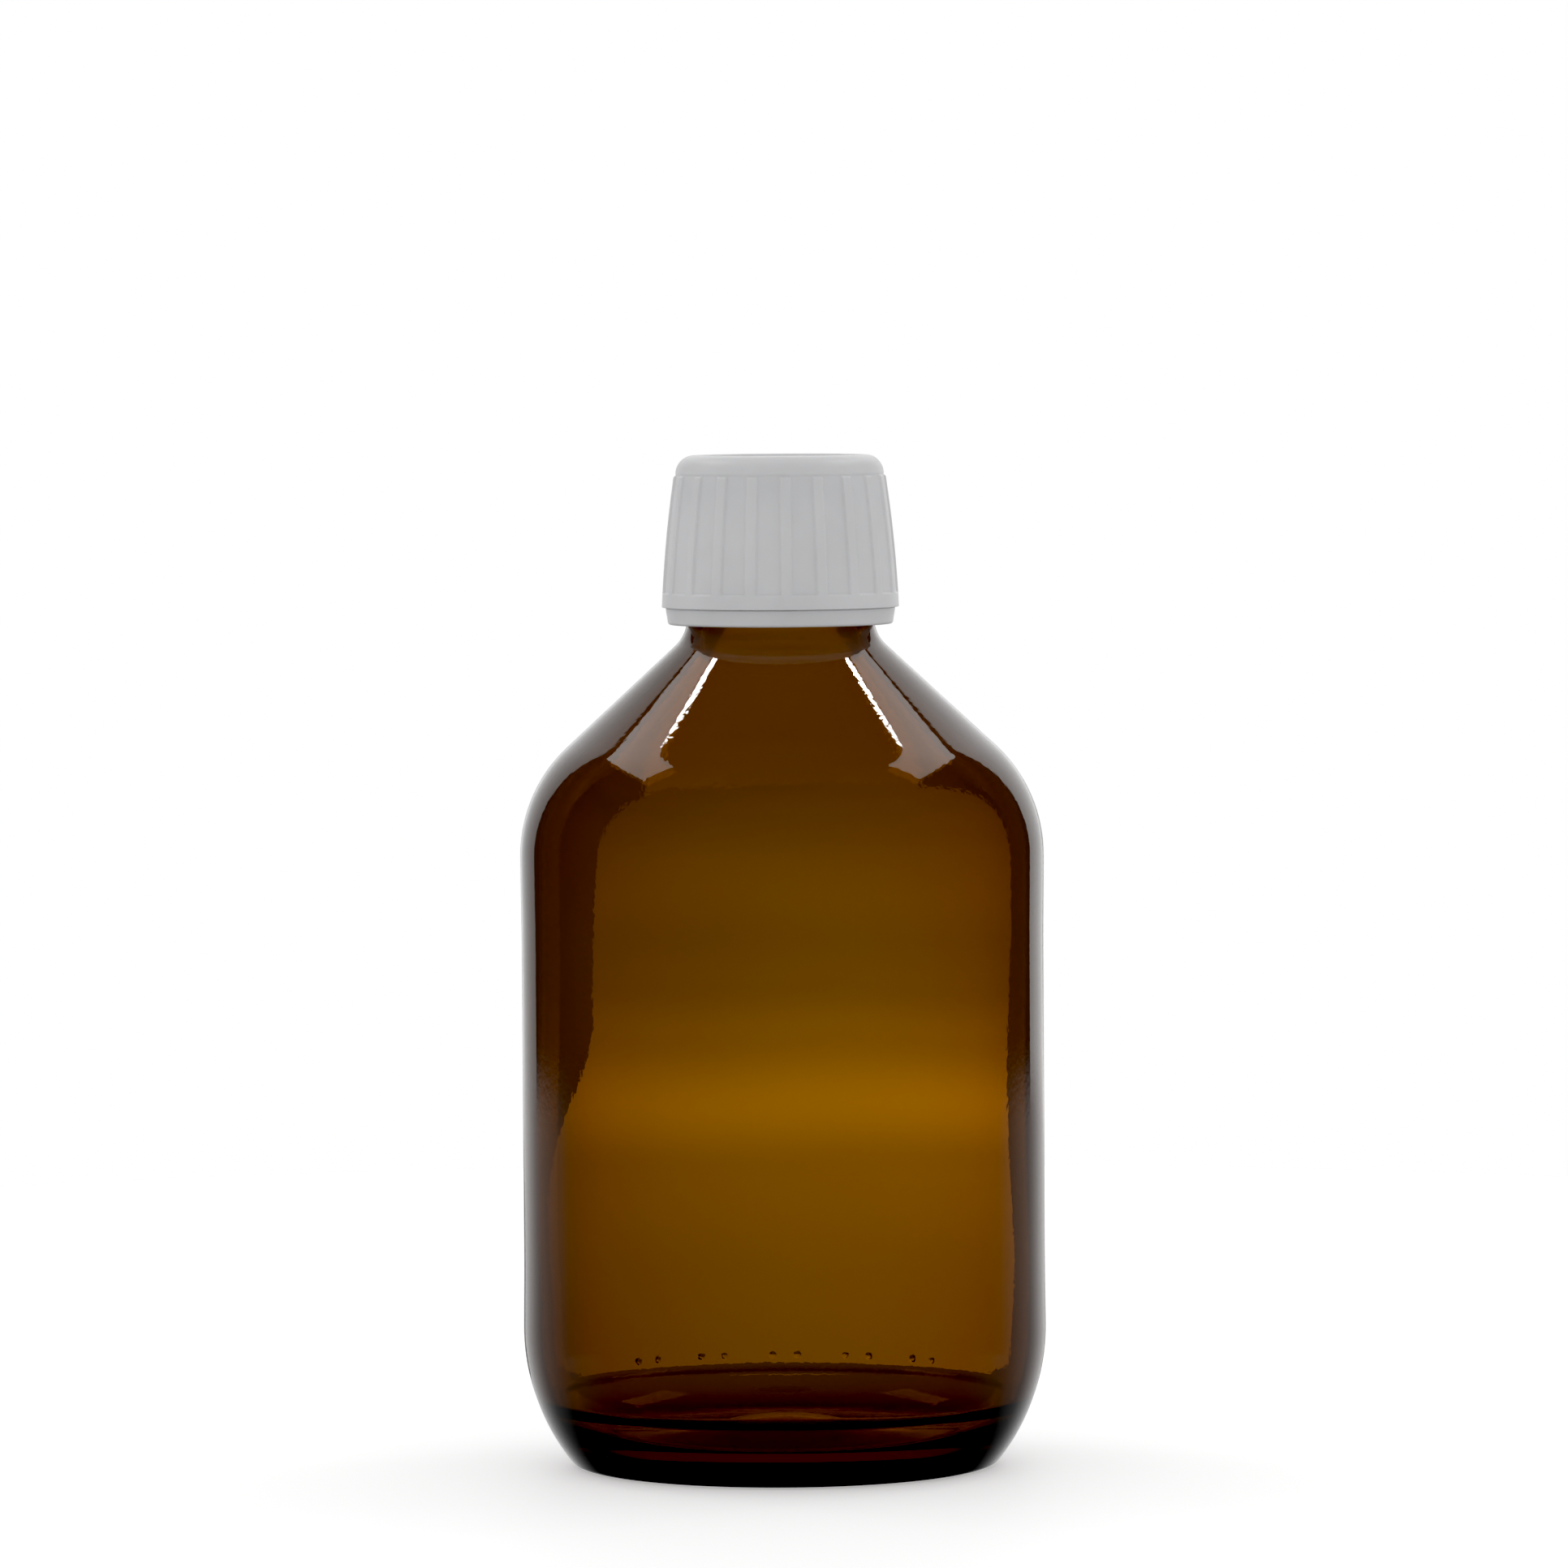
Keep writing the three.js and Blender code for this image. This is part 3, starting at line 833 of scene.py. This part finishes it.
def reflector_cards():
    """A bright card shaped like the body behind the bottle, and a dim one behind the neck."""
    left = 0.0362
    right = 0.055
    top = 0.093
    corner = 0.019
    bottom = -0.006
    foot = 0.060  # reach of the left edge below its flare
    flare_low = 0.02
    flare_high = 0.05

    def rounded(half, sign):
        """The upper corner of one side of the card, from the upright edge to the top."""
        return [(sign * (half - corner + across), top - corner + up)
                for across, up in arc((0, 0), corner, 0, 90, 7.5)]

    levels = [bottom + (flare_high - bottom) * i / 12 for i in range(13)]
    flare = [(-left - (foot - left) * (1 - smooth_step(flare_low, flare_high, z)), z)
             for z in levels]
    outline = [(right, bottom)] + rounded(right, 1) + rounded(left, -1)[::-1] + flare[::-1]
    stops = [(0.0, 0.37), (0.12, 0.4), (0.31, 0.49), (0.41, 0.73), (0.52, 0.46), (0.60, 0.34),
             (0.68, 0.31), (0.76, 0.34), (0.88, 0.26), (1.0, 0.23)]
    glowing_card("reflector_card", outline, distance=0.12, stops=stops, top=top, slope=5.0,
                 fade=(0.036, foot, 0.6))
    side = 0.026
    low = 0.07
    high = 0.15
    outline = [(-side, low), (side, low), (side, high), (-side, high)]
    glowing_card("neck_card", outline, distance=0.125, stops=[(0.0, 0.27), (1.0, 0.27)], top=high)


def disc(name, radius, centre):
    """A flat round face."""
    mesh = bmesh.new()
    bmesh.ops.create_circle(mesh, cap_ends=True, segments=96, radius=radius)
    obj = finished(name, mesh)
    obj.location = centre
    return obj


def floor():
    """The pale floor, which the glass doesn't show: the world's table takes its place there."""
    obj = disc("floor", 0.30, (0, 0.14, -0.0002))
    obj.data.materials.append(pale_floor())
    obj.visible_glossy = False
    obj.visible_transmission = False


def shaded_spot():
    """Painted shade of the table right under the bottle, a dark disc as seen through the glass."""
    obj = disc("shaded_spot", BEARING_INNER * MM, (0, 0, -0.0001))
    material, _, shader, _ = new_material("shaded_spot")
    shader.inputs["Base Color"].default_value = (0.02, 0.02, 0.02, 1)
    shader.inputs["Specular IOR Level"].default_value = 0.0
    shader.inputs["Emission Color"].default_value = (1, 1, 1, 1)
    shader.inputs["Emission Strength"].default_value = 0.005
    obj.data.materials.append(material)
    obj.visible_camera = False
    obj.visible_diffuse = False
    obj.visible_shadow = False


def studio():
    """The whole set: world, floor, cards, two ceiling panels and two small lamps."""
    studio_world()
    floor()
    shaded_spot()
    reflector_cards()
    for name, side in (("left", -1), ("right", 1)):
        softbox("ceiling_" + name, (0.75 * side, 0.5, 1.0), distance=1.0, size=(0.34, 0.86),
                radiance=1.75, flat=True)
        lamp = softbox("lamp_" + name, (0.455 * side, 0.32, 0.83), distance=0.9,
                       size=(0.033, 0.04), radiance=30)
        # A lamp draws one streak, on the outside of the glass only.
        lamp.visible_transmission = False


camera()
glass = amber_glass()
white = moulded_plastic("white_plastic", light=(0.80, 0.80, 0.81), dark=(0.76, 0.76, 0.77),
                        roughness=0.38, grain=0.1, scatter=0.25)
natural = moulded_plastic("natural_plastic", light=(0.86, 0.86, 0.83), dark=(0.82, 0.82, 0.79),
                          roughness=0.42, grain=0.1, scatter=0.6)
place_piece(glass_bottle(), "bottle", "amber_glass", glass, "bottle")
place_piece(pouring_ring(), "bottle", "natural_plastic", natural, "pour_ring")
place_piece(foam_liner(), "liner", "liner_foam", foam(), "seal_liner")
place_piece(moulded_cap(), "cap", "white_plastic", white, "cap_shell")
place_piece(breakaway_band(), "band", "white_plastic", white, "tamper_band")
studio()

# The picture keeps its plain whites, and its darkest tones are pulled down a little.
view = bpy.context.scene.view_settings
view.view_transform = "Standard"
view.use_curve_mapping = True
view.curve_mapping.black_level = (0.01, 0.01, 0.01)
view.curve_mapping.update()
cycles = bpy.context.scene.cycles
cycles.max_bounces = 24
cycles.transmission_bounces = 20
cycles.glossy_bounces = 12
cycles.diffuse_bounces = 6
